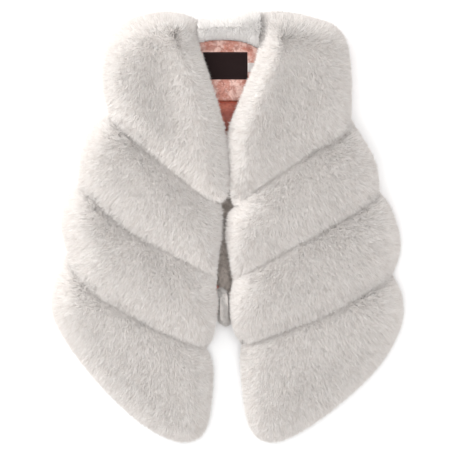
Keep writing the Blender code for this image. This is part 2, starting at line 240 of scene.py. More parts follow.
@dataclass(frozen=True)
class Finish:
    """A material that is built from nodes."""

    name: str

    def material(self) -> Material:
        """Builds the material."""
        made = bpy.data.materials.new(self.name)
        made.use_nodes = True
        self.wire(Graph(made.node_tree))
        return made

    def wire(self, graph: Graph) -> None:
        """Adds the material's nodes."""
        raise NotImplementedError


@dataclass(frozen=True)
class FurFinish(Finish):
    """Hairs whose colour runs from a darker, warmer root, painted shade deep in the pile, to the
    tip, and differs a little from hair to hair.
    """

    root: Colour
    tip: Colour
    dull: Colour
    dull_share: float = 0.5

    def wire(self, graph: Graph) -> None:
        """Reads the hairs' own UV map: tone across, root to tip up."""
        tone = graph.split(graph.add("ShaderNodeUVMap", {"uv_map": FUR_UV}))
        # Painted shade: darker at the root, where the hair stands deep in the pile.
        along = graph.ramp(tone.also("Y"), (0.0, 0.0), (0.45, 0.55), (0.9, 1.0))
        grown = graph.mix(along, self.root, self.tip)
        uneven = graph.ramp(tone, (0.0, 1.0), (0.5, 0.3), (1.0, 0.0))
        graph.close({
            "Base Color": graph.mix(uneven * self.dull_share, grown, self.dull), "Roughness": 0.85,
            "Sheen Weight": 0.15, "Sheen Roughness": 0.5, "Specular IOR Level": 0.2,
        })


@dataclass(frozen=True)
class PeltFinish(Finish):
    """Knitted backing and undercoat under the pile, mottled and rough, with painted shade in its
    hollows.
    """

    colour: Colour
    deep: Colour
    tuft: float = 2.2 * MM

    def wire(self, graph: Graph) -> None:
        """Mottles it with noise at the size of a tuft, darkest where the tufts are low, as painted
        shade.
        """
        where = graph.place()
        tufts = graph.noise(where, 1 / self.tuft, 3.0)
        patches = graph.noise(where, 0.12 / self.tuft, 2.0)
        # Painted shade: the deep colour where the tufts' noise, which also bumps them, is low.
        share = graph.ramp(tufts * 0.7 + patches * 0.3, (0.35, 0.0), (0.62, 1.0))
        graph.close({
            "Base Color": graph.mix(share, self.deep, self.colour), "Roughness": 0.95,
            "Normal": graph.bump(0.6, 1.5 * MM, tufts), "Sheen Weight": 0.2,
            "Specular IOR Level": 0.15,
        })


@dataclass(frozen=True)
class PressedFurFinish(Finish):
    """Long pile pressed flat against the floor, in streaks that run down the back, darker between
    them as painted shade.
    """

    colour: Colour
    deep: Colour
    strand: float = 1.4 * MM
    length: float = 22 * MM

    def wire(self, graph: Graph) -> None:
        """Draws noise out along the nap."""
        where = graph.place()
        wave = graph.noise(where, 0.5 / self.length, 1.0, "Color")
        bent = graph.vector("ADD", where, graph.scaled(wave, 12 * MM))
        drawn = graph.vector("MULTIPLY", bent, (1 / self.strand, 1 / self.length, 1 / self.strand))
        strands = graph.noise(drawn, 1.0, 3.0)
        locks = graph.noise(graph.vector("MULTIPLY", drawn, (0.22, 0.5, 0.22)), 1.0, 2.0)
        height = strands * 0.6 + locks * 0.4
        # Painted shade: the deep colour where the streaks' height, which also bumps them, is low.
        share = graph.ramp(height, (0.36, 0.0), (0.58, 1.0))
        graph.close({
            "Base Color": graph.mix(share, self.deep, self.colour), "Roughness": 0.8,
            "Normal": graph.bump(0.9, 2.5 * MM, height), "Sheen Weight": 0.2,
            "Specular IOR Level": 0.2,
        })


@dataclass(frozen=True)
class LiningFinish(Finish):
    """Printed satin: blotches, leaf veins and specks over a fine weave."""

    ground: Colour
    light: Colour
    dark: Colour
    motif: float = 8.0 * MM
    speck: float = 2.3 * MM
    thread: float = 0.45 * MM

    def wire(self, graph: Graph) -> None:
        """Prints the cloth by its own place."""
        where = graph.place()
        warp = graph.noise(where, 0.7 / self.motif, 2.0, "Color")
        bent = graph.vector("ADD", where, graph.scaled(warp, 9 * MM))
        blotch = graph.ramp(graph.noise(where, 0.5 / self.motif, 3.0), (0.44, 0.0), (0.56, 1.0))
        shaded = graph.ramp(graph.noise(bent, 0.8 / self.motif, 2.0), (0.50, 0.0), (0.62, 1.0))
        ground = graph.mix(shaded * 0.5, graph.mix(blotch, self.ground, self.light), self.dark)
        printed = graph.mix(self.veins(graph, bent) * 0.55, ground, self.dark)
        colour = graph.mix(self.specks(graph, where, bent) * 0.7, printed, self.light)
        weave = graph.bands(where, "DIAGONAL", 0.16 / self.thread, 0.6)
        wrinkle = graph.noise(where, 90.0, 3.0)
        graph.close({
            "Base Color": colour, "Roughness": 0.38 + blotch * 0.12,
            "Normal": graph.bump(0.5, 1.2 * MM, wrinkle + weave * 0.12),
            "Sheen Weight": 0.1, "Specular IOR Level": 0.45,
        })

    def veins(self, graph: Graph, bent: Value) -> Value:
        """Fine double lines round the motifs, worn away in places."""
        edge = graph.add("ShaderNodeTexVoronoi", {"feature": "DISTANCE_TO_EDGE"}, {
            "Vector": bent, "Scale": 1 / self.motif,
        })
        line = graph.ramp(
            edge, (0.0, 1.0), (0.05, 0.9), (0.09, 0.0), (0.16, 0.0), (0.20, 0.5), (0.25, 0.0))
        worn = graph.ramp(graph.noise(bent, 1.3 / self.motif, 1.0), (0.40, 0.15), (0.58, 1.0))
        return line * worn

    def specks(self, graph: Graph, where: Value, bent: Value) -> Value:
        """Small dots that stand in patches."""
        dots = graph.add("ShaderNodeTexVoronoi", {}, {"Vector": bent, "Scale": 1 / self.speck})
        patches = graph.ramp(graph.noise(where, 0.9 / self.motif, 1.0), (0.46, 0.0), (0.56, 1.0))
        return graph.ramp(dots, (0.20, 1.0), (0.34, 0.0)) * patches


@dataclass(frozen=True)
class WovenFinish(Finish):
    """Woven tape with a slightly different band just inside its edge."""

    colour: Colour
    band: Colour
    centre: tuple[float, float]
    half: tuple[float, float]
    band_in: float = 1.6 * MM
    band_wide: float = 0.8 * MM
    thread: float = 0.5 * MM

    def wire(self, graph: Graph) -> None:
        """Draws the band and the weave about the tape's centre."""
        where = graph.place()
        local = graph.split(graph.vector("SUBTRACT", where, (*self.centre, 0.0)))
        in_x = self.half[0] - local.maths("ABSOLUTE", local)
        in_y = self.half[1] - local.maths("ABSOLUTE", local.also("Y"))
        depth = in_x.maths("MINIMUM", in_x, in_y)
        band = (depth > self.band_in) * (depth < self.band_in + self.band_wide)
        warp, weft = (graph.bands(where, way, 0.32 / self.thread, 0.3) for way in ("X", "Y"))
        weave = warp * 0.5 + weft * 0.5
        fuzz = graph.noise(where, 700.0, 2.0)
        plain = graph.mix(band, self.colour, self.band)
        graph.close({
            "Base Color": graph.mix(weave * 0.25 + fuzz * 0.2, plain, self.band), "Roughness": 0.7,
            "Normal": graph.bump(0.6, 0.35 * MM, weave + fuzz * 0.4), "Specular IOR Level": 0.15,
        })


@dataclass(frozen=True)
class FloorFinish(Finish):
    """Plain pale floor that glows a little, as a light table does."""

    colour: Colour = (0.97, 0.97, 0.97)
    glow: float = 0.16

    def wire(self, graph: Graph) -> None:
        """Gives it one colour."""
        colour = (*self.colour, 1.0)
        graph.close({
            "Base Color": colour, "Roughness": 0.9,
            "Emission Color": colour, "Emission Strength": self.glow,
        })


class Finishes:
    """Every finish of the vest's large pieces, made once."""

    def __init__(self) -> None:
        """Makes them."""
        self.front_fur = FurFinish(
            "front_fur_hairs",
            (0.935, 0.885, 0.85), (0.975, 0.944, 0.918), (0.72, 0.65, 0.605), 0.8).material()
        self.front_pelt = PeltFinish(
            "front_fur_pelt", (0.90, 0.85, 0.81), (0.78, 0.72, 0.68)).material()
        self.collar_fur = FurFinish(
            "collar_fur_hairs",
            (0.95, 0.91, 0.88), (0.98, 0.955, 0.935), (0.84, 0.79, 0.755)).material()
        # The facing's fur is the fronts' pale fur, coloured dark grey-brown as painted deep shade
        # of the narrow gap between the fronts; its pelt likewise.
        self.facing_fur = FurFinish(
            "facing_fur_hairs",
            (0.30, 0.25, 0.225), (0.70, 0.62, 0.565), (0.24, 0.20, 0.175), 0.85).material()
        # The low facing's fur is the fronts' pale fur, greyed as painted shade where it shows
        # between the fronts.
        self.low_strip_painted_shade = FurFinish(
            "low_facing_hairs",
            (0.71, 0.67, 0.645), (0.74, 0.715, 0.695), (0.55, 0.50, 0.46), 0.8).material()
        self.facing_pelt = PeltFinish(
            "facing_fur_pelt", (0.36, 0.31, 0.28), (0.24, 0.20, 0.18)).material()
        self.pressed_fur = PressedFurFinish(
            "back_fur_pressed", (0.80, 0.775, 0.75), (0.52, 0.485, 0.455)).material()
        self.rose_print = LiningFinish(
            "lining_rose_print",
            (0.63, 0.265, 0.20), (0.86, 0.57, 0.495), (0.33, 0.08, 0.048)).material()
        # The body's lining is the yoke's print, darker and redder as painted shade deep in the V
        # between the fronts.
        self.rose_print_painted_shade = LiningFinish(
            "lining_brick_print",
            (0.42, 0.07, 0.036), (0.57, 0.155, 0.092), (0.23, 0.033, 0.018)).material()


# Meshes


def new_object(name: str, mesh: Mesh) -> Object:
    """An object of the scene with this mesh."""
    made = bpy.data.objects.new(name, mesh)
    bpy.context.scene.collection.objects.link(made)
    return made


def evaluated_mesh(source: Object) -> Mesh:
    """The object's mesh after its modifiers, as a mesh of its own."""
    bpy.context.view_layer.update()
    graph = bpy.context.evaluated_depsgraph_get()
    ready = source.evaluated_get(graph)
    return bpy.data.meshes.new_from_object(ready, preserve_all_data_layers=True, depsgraph=graph)


def vertex_array(mesh: Mesh, part: str = "co") -> Array:
    """Places or normals of a mesh's vertices."""
    numbers = np.empty(len(mesh.vertices) * 3)
    if part == "co":
        mesh.vertices.foreach_get("co", numbers)
    else:
        mesh.vertex_normals.foreach_get("vector", numbers)
    return numbers.reshape(-1, 3)


def merged_node(node: str) -> BMesh:
    """A copy of a node's solid with its doubled points merged."""
    bm = bmesh.new()
    bm.from_mesh(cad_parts[node].data)
    bmesh.ops.remove_doubles(bm, verts=bm.verts, dist=MERGE)
    bm.normal_update()
    return bm


def join_cells(bm: BMesh) -> None:
    """Joins the triangles of a solid back into four-sided cells."""
    bmesh.ops.join_triangles(
        bm, faces=bm.faces, angle_face_threshold=CELL_ANGLE, angle_shape_threshold=CELL_ANGLE)


def plan_point(vertex: bmesh.types.BMVert, digits: int) -> tuple[float, float]:
    """A vertex's place in plan, rounded."""
    return round(vertex.co.x, digits), round(vertex.co.y, digits)


def store(mesh: Mesh, name: str, values: Array) -> None:
    """Stores a number or a vector for each point of a mesh."""
    kind, key = ("FLOAT_VECTOR", "vector") if values.ndim > 1 else ("FLOAT", "value")
    mesh.attributes.new(name, kind, "POINT").data.foreach_set(key, values.ravel())


def attach(piece: Object) -> None:
    """Puts a piece on the vest's one body."""
    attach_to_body(piece, BODY)


def smooth_step(t: Array | float) -> Array:
    """0 to 1 with level ends."""
    t = np.clip(t, 0, 1)
    return t * t * (3 - 2 * t)


def lengths(vectors: Array) -> Array:
    """Length of each vector, as a column."""
    return np.linalg.norm(vectors, axis=1, keepdims=True)


def unit(vectors: Array) -> Array:
    """Vectors of length 1."""
    return vectors / np.maximum(lengths(vectors), TINY)


@dataclass
class Border:
    """Plan segments along some edges of a solid, with the way out of it at each."""

    starts: Array
    ends: Array
    ways: Array

    DIGITS = 6
    NOWHERE = ((9.0, 9.0), (9.0, 9.1), (1.0, 0.0))

    @classmethod
    def of(cls, faces: list[BMFace]) -> "Border":
        """The border that runs under these upright faces."""
        rows = []
        for face in faces:
            plan = sorted({plan_point(v, cls.DIGITS) for v in face.verts})
            if len(plan) >= 2:
                rows.append((plan[0], plan[-1], tuple(face.normal.xy.normalized())))
        return cls(*(np.array(column) for column in zip(*(rows or [cls.NOWHERE]))))

    def nearest(self, points: Array) -> tuple[Array, Array]:
        """Finds the nearest border.

        Args:
            points: Plan points.

        Returns:
            The distance of each point from the border, and the way out of the solid there.
        """
        best = np.full(len(points), np.inf)
        way = np.zeros((len(points), 2))
        for start, end, out in zip(self.starts, self.ends, self.ways):
            run = end - start
            share = np.clip((points - start) @ run / max(run @ run, TINY), 0, 1)
            far = np.linalg.norm(points - start - share[:, None] * run, axis=1)
            nearer = far < best
            best[nearer] = far[nearer]
            way[nearer] = out
        return best, way


class FurForm:
    """Smooth surface of a fur solid, open where it is sewn to the next one.

    Each of its points knows how far it is from the nearest seam and the way
    there, and how far from the nearest free edge and the way out of it.
    """

    UPRIGHT = 0.02
    WALL = 4 * MM
    DIGITS = 5
    ALONG = 0.7
    UNDER = -0.5

    def __init__(self, node: str, open_ways: tuple[float, float] | None = None,
                 hidden_top: float | None = None, hidden_under: bool = False) -> None:
        """Reads a node.

        Args:
            node: The solid's name.
            open_ways: Only walls that face along this axis are seams, where it is given.
            hidden_top: Distance in from the edge past which the top is covered and left out.
            hidden_under: Whether the underside is left out, because it lies on other cloth.
        """
        bm = merged_node(node)
        upright = [f for f in bm.faces if abs(f.normal.z) < self.UPRIGHT]
        tall = self.walls(upright)
        if open_ways is not None:
            axis = Vector(open_ways)
            tall = [f for f in tall if abs(f.normal.xy.normalized().dot(axis)) > self.ALONG]
        self.seams = Border.of(tall)
        self.edges = Border.of([f for f in upright if f not in set(tall)])
        bmesh.ops.delete(bm, geom=tall, context="FACES")
        if hidden_top is not None:
            high = [f for f in bm.faces if f.normal.z > 0]
            far, _ = self.edges.nearest(np.array([f.calc_center_median().xy for f in high]))
            covered = [f for f, d in zip(high, far) if d > hidden_top]
            bmesh.ops.delete(bm, geom=covered, context="FACES")
        if hidden_under:
            under = [f for f in bm.faces if f.normal.z < self.UNDER]
            bmesh.ops.delete(bm, geom=under, context="FACES")
        join_cells(bm)
        mesh = bpy.data.meshes.new(f"{node}_form")
        bm.to_mesh(mesh)
        bm.free()
        carrier = new_object(f"{node}_form", mesh)
        smooth = carrier.modifiers.new("smooth", "SUBSURF")
        smooth.levels = smooth.render_levels = 1
        smooth.boundary_smooth = "PRESERVE_CORNERS"
        self.mesh = evaluated_mesh(carrier)
        bpy.data.objects.remove(carrier)
        self.points = vertex_array(self.mesh)
        self.normals = vertex_array(self.mesh, "normal")
        self.plan = self.points[:, :2]
        self.far, self.way = self.seams.nearest(self.plan)
        self.near_edge, self.out = self.edges.nearest(self.plan)
        corners = [tuple(p.vertices) for p in self.mesh.polygons]
        self.tree = BVHTree.FromPolygons([tuple(p) for p in self.points], corners)

    @classmethod
    def walls(cls, upright: list[BMFace]) -> list[BMFace]:
        """The upright faces over each plan segment where they reach high, down to its low end."""
        stacks: dict[tuple, list[BMFace]] = {}
        for face in upright:
            plan = sorted({plan_point(v, cls.DIGITS) for v in face.verts})
            stacks.setdefault((plan[0], plan[-1]), []).append(face)
        tall = []
        for ends, faces in stacks.items():
            points = [v for f in faces for v in f.verts]
            levels = [[v.co.z for v in points if plan_point(v, cls.DIGITS) == end] for end in ends]
            if max(max(z) - min(z) for z in levels) > cls.WALL:
                tall += faces
        return tall

    def on_top(self, plan: Array, otherwise: Array) -> Array:
        """Height of the surface over plan points, or the other height where there is none."""
        found = []
        for (x, y), spare in zip(plan, otherwise):
            hit, *_ = self.tree.ray_cast(Vector((x, y, 1.0)), Vector((0, 0, -1)))
            found.append(hit.z if hit else spare)
        return np.array(found)


class HairMesh:
    """One hair: a long pointed triangle, a little bent towards +Y."""

    POINTS = ((-0.5, 0, 0), (0.5, 0, 0), (0, 0.1, 1))
    FACES = ((0, 1, 2),)

    def build(self) -> Object:
        """Makes the hair, with across and up as its UV map."""
        mesh = bpy.data.meshes.new("hair")
        mesh.from_pydata(self.POINTS, [], self.FACES)
        layer = mesh.uv_layers.new(name=HAIR_UV)
        for loop in mesh.loops:
            x, _, z = self.POINTS[loop.vertex_index]
            layer.data[loop.index].uv = (x + 0.5, z)
        return new_object("hair", mesh)


@dataclass(frozen=True)
class Pile:
    """Pile of a fur piece: how deep, how dense, how wide its hairs and how ruffled."""

    depth: float
    density: float
    width: float = 1.2 * MM
    spread: float = 3.0 * MM
    clump: float = 4.0 * MM
    clump_size: float = 4.0 * MM
    shortest: float = 0.72
    longest: float = 1.06
    lowest: float = 0.5 * MM


class StandingFur:
    """Geometry Nodes tree that stands hairs along a pelt's "hair" vectors.

    A hair takes the way that the fur's surface faces there, so that the pile
    is lit as one soft form.
    """

    INPUTS = {
        "Pelt": "Geometry", "Hair": "Object", "Density": "Float", "Seed": "Int", "Width": "Float",
        "Spread": "Float", "Clump": "Float", "Clumps per Metre": "Float", "Shortest": "Float",
        "Longest": "Float", "Lowest": "Float", "Fur": "Material",
    }
    TUFT = 2.8 * MM
    TUFT_SHARE = 0.7
    TUFT_DRAWN = (1.0, 0.45, 1.0)
    TUFT_FROM, TUFT_GAIN = 0.34, 3.1
    FIBRE = 0.6
    TURN = 0.36
    THIN, THICK = 0.7, 1.3
    TOSS = (1.0, 1.0, 0.35)

    def __init__(self) -> None:
        """Builds the tree and its hair."""
        self.hair = HairMesh().build()
        self.tree = bpy.data.node_groups.new("standing_fur", "GeometryNodeTree")
        self.keys: dict[str, str] = {}
        sockets = self.tree.interface
        for name, kind in self.INPUTS.items():
            made = sockets.new_socket(name, in_out="INPUT", socket_type=f"NodeSocket{kind}")
            self.keys[name] = made.identifier
        sockets.new_socket("Fur", in_out="OUTPUT", socket_type="NodeSocketGeometry")
        self.graph = Graph(self.tree)
        self.given = self.graph.add("NodeGroupInput").also
        self.wire()

    def wire(self) -> None:
        """Adds the tree's nodes."""
        graph = self.graph
        dense = graph.attribute("growth") * self.given("Density")
        roots = graph.add("GeometryNodeDistributePointsOnFaces", {}, {
            "Mesh": self.given("Pelt"), "Density": dense, "Seed": self.given("Seed"),
        }, "Points")
        lean = self.lean()
        length = graph.add("ShaderNodeVectorMath", {"operation": "LENGTH"}, {0: lean}, "Value")
        long = length * self.random(3, self.given("Shortest"), self.given("Longest"))
        thick = self.given("Width") * self.random(4, self.THIN, self.THICK)
        size = graph.add("ShaderNodeCombineXYZ", {}, {"X": thick, "Y": long, "Z": long})
        faced = graph.attribute("facing", "FLOAT_VECTOR")
        loose = graph.attribute("loose")
        rolled = graph.scaled(self.random_vector(5, self.TURN), loose)
        axes = {"primary_axis": "Z", "secondary_axis": "Y"}
        turn = graph.add("FunctionNodeAxesToRotation", axes, {
            "Primary Axis": lean, "Secondary Axis": graph.vector("SUBTRACT", rolled, faced),
        })
        hair = graph.add("GeometryNodeObjectInfo", {}, {"Object": self.given("Hair")}, "Geometry")
        stood = graph.add("GeometryNodeInstanceOnPoints", {}, {
            "Points": roots, "Instance": hair, "Rotation": turn, "Scale": size,
        })
        toned = self.kept(stood, "tone", "FLOAT", self.tone())
        strewn = graph.scaled(self.random_vector(7, self.FIBRE), loose)
        aim = graph.vector("ADD", faced, strewn)
        aimed = self.kept(toned, "facing", "FLOAT_VECTOR", aim)
        real = graph.add("GeometryNodeRealizeInstances", {}, {"Geometry": aimed})
        lit = graph.add("GeometryNodeSetMeshNormal", {"mode": "FREE", "domain": "POINT"}, {
            "Mesh": self.mapped(real), "Custom Normal": faced,
        })
        values = {"Geometry": lit, "Material": self.given("Fur")}
        dressed = graph.add("GeometryNodeSetMaterial", {}, values)
        graph.add("NodeGroupOutput", {}, {"Fur": dressed})

    def lean(self) -> Value:
        """Each hair's vector: the pelt's, tossed, drawn into clumps and kept off the floor."""
        graph = self.graph
        combed = graph.attribute("hair", "FLOAT_VECTOR")
        loose = graph.attribute("loose")
        where = graph.add("GeometryNodeInputPosition")
        cloud = graph.noise(where, self.given("Clumps per Metre"), 1.5, "Color")
        centred = graph.vector("SUBTRACT", cloud, (0.5, 0.5, 0.5))
        drawn = graph.scaled(centred, loose * self.given("Clump"))
        toss = graph.vector("MULTIPLY", self.random_vector(1, 1.0), self.TOSS)
        tossed = graph.scaled(toss, loose * self.given("Spread"))
        moved = graph.vector("ADD", combed, graph.vector("ADD", drawn, tossed))
        split = graph.split(graph.vector("ADD", where, moved))
        level = split.maths("MAXIMUM", split.also("Z"), self.given("Lowest"))
        kept = graph.add("ShaderNodeCombineXYZ", {}, {"X": split, "Y": split.also("Y"), "Z": level})
        return graph.vector("SUBTRACT", kept, where)

    def tone(self) -> Value:
        """Tone of each hair, 0 to 1: partly its own and partly its tuft's."""
        graph = self.graph
        drawn = graph.vector("MULTIPLY", graph.add("GeometryNodeInputPosition"), self.TUFT_DRAWN)
        tuft = (graph.noise(drawn, 1 / self.TUFT, 2.0) - self.TUFT_FROM) * self.TUFT_GAIN
        held = tuft.maths("MINIMUM", tuft.maths("MAXIMUM", tuft, 0.0), 1.0)
        return self.random(6, 0.0, 1.0 - self.TUFT_SHARE) + held * self.TUFT_SHARE

    def kept(self, hairs: Value, name: str, kind: str, value: Value,
             domain: str = "INSTANCE") -> Value:
        """The hairs, each with a value stored under a name."""
        values = {"Geometry": hairs, "Name": name, "Value": value}
        settings = {"data_type": kind, "domain": domain}
        return self.graph.add("GeometryNodeStoreNamedAttribute", settings, values)

    def random(self, salt: int, low: Value | float, high: Value | float) -> Value:
        """Random number for each hair."""
        values = {"Min_001": low, "Max_001": high, "Seed": self.given("Seed") + salt}
        kind = {"data_type": "FLOAT"}
        return self.graph.add("FunctionNodeRandomValue", kind, values, "Value_001")

    def random_vector(self, salt: int, reach: float) -> Value:
        """Random vector for each hair."""
        values = {"Min": (-reach,) * 3, "Max": (reach,) * 3, "Seed": self.given("Seed") + salt}
        kind = {"data_type": "FLOAT_VECTOR"}
        return self.graph.add("FunctionNodeRandomValue", kind, values, "Value")

    def mapped(self, hairs: Value) -> Value:
        """Stores the UV map that the fur's material reads, inside the edges of its square."""
        graph = self.graph
        split = graph.split(graph.attribute(HAIR_UV, "FLOAT_VECTOR"))
        across = 0.02 + graph.attribute("tone") * 0.95 + split * 0.006
        place = graph.add("ShaderNodeCombineXYZ", {}, {"X": across, "Y": split.also("Y")})
        return self.kept(hairs, FUR_UV, "FLOAT2", place, "CORNER")

    def grow(self, name: str, pelt: Mesh, pile: Pile, seed: int, fur: Material) -> Object:
        """Grows the pile of one piece.

        Args:
            name: The fur piece's name.
            pelt: The mesh that it grows on, with PELT_DATA on its points.
            pile: The pile's sizes.
            seed: Fixed seed of its hairs.
            fur: The hairs' material.

        Returns:
            The hairs as one plain mesh object.
        """
        made = new_object(name, pelt.copy())
        grower = made.modifiers.new("standing_fur", "NODES")
        grower.node_group = self.tree
        inputs = {
            "Hair": self.hair, "Density": pile.density, "Seed": seed, "Width": pile.width,
            "Spread": pile.spread, "Clump": pile.clump, "Clumps per Metre": 1 / pile.clump_size,
            "Shortest": pile.shortest, "Longest": pile.longest, "Lowest": pile.lowest, "Fur": fur,
        }
        for key, value in inputs.items():
            grower[self.keys[key]] = value
        mesh = evaluated_mesh(made)
        mesh.polygons.foreach_set("use_smooth", [True] * len(mesh.polygons))
        made.modifiers.clear()
        made.data = mesh
        if HAIR_UV in mesh.uv_layers:
            mesh.uv_layers.remove(mesh.uv_layers[HAIR_UV])
        for spare in [a.name for a in mesh.attributes if a.name in (*PELT_DATA, "tone")]:
            mesh.attributes.remove(mesh.attributes[spare])
        return made

    def clear(self) -> None:
        """Removes the single hair once all fur is grown."""
        bpy.data.objects.remove(self.hair)


# Fur pieces


@dataclass
class FurPiece:
    """One sewn fur piece: its pelt, the pile on it and the cloth that closes its underside.

    The fields are what differs from piece to piece. A name with "by", "fade"
    or "wide" is the distance over which something eases in or out.
    """

    SEAM_FADE, CORNER = 25 * MM, 14 * MM
    OUTWARD, OUTWARD_BY, INWARD_BY = 1.3, 30 * MM, 75 * MM
    LEVEL, LEVEL_BY = 0.1, 0.4
    STAND, STAND_WIDE = 0.45, 6 * MM
    SLIT, FRINGE, OVERLAP = 0.8 * MM, 2.6 * MM, 3.4 * MM
    FADE_FROM, FADE_TO = 92 * MM, 132 * MM
    GROOVE, GROOVE_WIDE, GROOVE_SHUT = 3 * MM, 4 * MM, 0.85
    INNER_GROOVE, INNER_FROM, INNER_BY = 4 * MM, 45 * MM, 30 * MM
    MEET_WIDE, MEET_FADE = 8 * MM, 24 * MM
    TURNED, TURNED_BY = -0.7, 0.6
    SEWN, SEAM_SLOPE, BOW_WIDE = 1.4, 0.3, 115 * MM
    CALM_BY, CALM_LEAST, CLOSED_LOOSE = 14 * MM, 0.7, 0.3
    EDGE_LEAST, EDGE_CALM = 0.65, 10 * MM
    CROWN_FROM, CROWN_BY, CROWN_LOOSE = 20 * MM, 50 * MM, 0.25
    NECK_LOW, NECK_RISE, NECK_SIDE, NECK_FADE = 0.250, 20 * MM, 0.115, 40 * MM
    NECK_WIDE, NECK_CALM, NECK_PULL, NECK_OVER = 10 * MM, 0.5, 0.5, 0.4
    SPARSEST, DENSEST = 0.5, 4.0
    UPRIGHT, UPRIGHT_BY, UNDER, FACES_DOWN = 0.35, 0.3, -0.05, -0.8
    OVER_PUFF, SPARE = 1.15, 1.12

    node: str
    slot: str
    pile: Pile
    comb: Comb
    seed: int
    open_ways: tuple[float, float] | None = None
    hidden_top: float | None = None
    hidden_under: bool = False
    lay: float = 9 * MM
    fan_height: float = 260 * MM
    fan_side: float = 0.0
    edge_fade: float = 18 * MM
    pull: float = 11 * MM
    pull_at: float = 6 * MM
    pull_wide: float = 20 * MM
    meet: float = 4 * MM
    meet_side: float = 16 * MM
    meet_low: float = -40 * MM
    meet_high: float = 165 * MM
    meet_seam: float = 0.0
    steepest: float = 0.46
    bow: float = 0.62
    neck_overlap: float = 8 * MM
    neck_drop: float = 2.5 * MM

    def build(self, grower: StandingFur, fur: Material, pelt: Material, under: Material) -> None:
        """Args:
            grower: The tree that grows the pile.
            fur: The hairs' finish.
            pelt: The backing's finish.
            under: The finish of the flat underside.
        """
        form = FurForm(self.node, self.open_ways, self.hidden_top, self.hidden_under)
        roots, tips = self.sunk(form), self.combed(form)
        tips[:, 2] = np.maximum(tips[:, 2], self.pile.lowest)
        mesh = form.mesh
        mesh.vertices.foreach_set("co", roots.ravel())
        mesh.update()
        crowded = np.maximum(self.crowding(mesh, form.points), self.crowding(mesh, tips))
        store(mesh, "hair", tips - roots)
        store(mesh, "growth", self.growth(form) * crowded)
        store(mesh, "facing", self.facing(form))
        store(mesh, "loose", self.loose(form))
        mesh.update()
        hairs = grower.grow(f"{self.node}_pile", mesh, self.pile, self.seed, fur)
        backing = self.backing(mesh, pelt, under)
        attach(hairs)
        attach(backing)
        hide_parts(self.node)
        self.declare(backing)
        LOG.info("%s: %d hairs", self.node, len(hairs.data.polygons))

    @classmethod
    def growth(cls, form: FurForm) -> Array:
        """Share of the full density at each point: all on top, none on the flat underside."""
        upright = np.linalg.norm(form.normals[:, :2], axis=1)
        side = smooth_step((upright - cls.UPRIGHT) / cls.UPRIGHT_BY)
        return np.where(form.normals[:, 2] > cls.UNDER, 1.0, side)

    def loose(self, form: FurForm) -> Array:
        """How ruffled the hairs are: most on the crown, least at the seams and the free edges."""
        closed, _ = self.closed(form.plan)
        calm = self.CALM_LEAST + self.CLOSED_LOOSE * closed
        loose = calm + (1 - calm) * smooth_step(form.far / self.CALM_BY)
        loose += self.CROWN_LOOSE * smooth_step((form.near_edge - self.CROWN_FROM) / self.CROWN_BY)
        edge = smooth_step(form.near_edge / self.EDGE_CALM)
        return loose * (self.EDGE_LEAST + (1 - self.EDGE_LEAST) * edge)

    def facing(self, form: FurForm) -> Array:
        """The ways that the hairs face in the light, as one soft form over all the strips.

        Args:
            form: The piece's form.

        Returns:
            The form's normals, flatter across seams, bowed towards free edges and never steep.
        """
        flat = form.normals[:, :2]
        both = np.maximum(form.near_edge + form.far, SAME_PLACE)
        sewn = smooth_step(self.SEWN * form.near_edge / both)[:, None]
        across = (flat * form.way).sum(1, keepdims=True)
        flat = flat - (1 - self.SEAM_SLOPE) * sewn * across * form.way
        bowed = np.maximum(1 - form.near_edge / self.BOW_WIDE, 0)[:, None] ** 2
        flat += self.bow * bowed * form.out
        steep = lengths(flat)
        soft = self.steepest * (1 - np.exp(-steep / self.steepest))
        lit = np.hstack([flat * soft / np.maximum(steep, TINY), np.sqrt(1 - soft ** 2)])
        share = smooth_step((form.normals[:, 2:] - self.TURNED) / self.TURNED_BY)
        return unit(share * lit + (1 - share) * form.normals)

    def crowding(self, pelt: Mesh, tips: Array) -> Array:
        """How much denser the roots stand at each point so that the tips stand evenly."""
        grown = np.zeros(len(tips))
        shrunk = np.zeros(len(tips))
        for face in pelt.polygons:
            corners = list(face.vertices)
            ring = tips[corners]
            spans = np.cross(ring[1:-1] - ring[0], ring[2:] - ring[0])
            grown[corners] += np.linalg.norm(spans, axis=1).sum() / 2
            shrunk[corners] += face.area
        return np.clip(grown / np.maximum(shrunk, TINY), self.SPARSEST, self.DENSEST)

    def sunk(self, form: FurForm) -> Array:
        """The pelt's points: the solid's, moved in by the pile's depth, but not off a seam."""
        normals = form.normals.copy()
        kept = 1 - smooth_step(form.far / self.SEAM_FADE)
        kept *= smooth_step(form.near_edge / self.CORNER)
        lean = np.maximum((normals[:, :2] * form.way).sum(1), 0) * kept
        normals[:, :2] -= lean[:, None] * form.way
        high = normals[:, 2] > 0
        ways = np.where(high[:, None], unit(normals), normals)
        ways[~high, 2] *= np.linalg.norm(normals[~high, :2], axis=1)
        return form.points - self.pile.depth * ways

    def combed(self, form: FurForm) -> Array:
        """Where the hairs' tips lie: brushed along the solid's surface, lower at the seams."""
        tips = form.points.copy()
        if self.comb is Comb.STRAIGHT:
            return tips
        closed, neck = self.closed(form.plan)
        upper = smooth_step((form.normals[:, 2] - self.LEVEL) / self.LEVEL_BY)
        plan = form.plan + self.brushed(form, closed, neck) * upper[:, None]
        tips[:, :2] = plan
        tips[:, 2] = np.where(upper > 0, form.on_top(plan, form.points[:, 2]), form.points[:, 2])
        left, _ = form.seams.nearest(plan)
        inner = smooth_step((self.INNER_FROM - np.abs(plan[:, 0])) / self.INNER_BY) * (1 - neck)
        deep = self.GROOVE * (1 - self.GROOVE_SHUT * closed) + self.INNER_GROOVE * inner
        tips[:, 2] -= deep * np.exp(-left / (self.GROOVE_WIDE * (1 + inner))) * upper
        tips[:, 2] -= self.neck_drop * neck * np.exp(-((left / self.NECK_WIDE) ** 2)) * upper
        return self.met(form, tips)

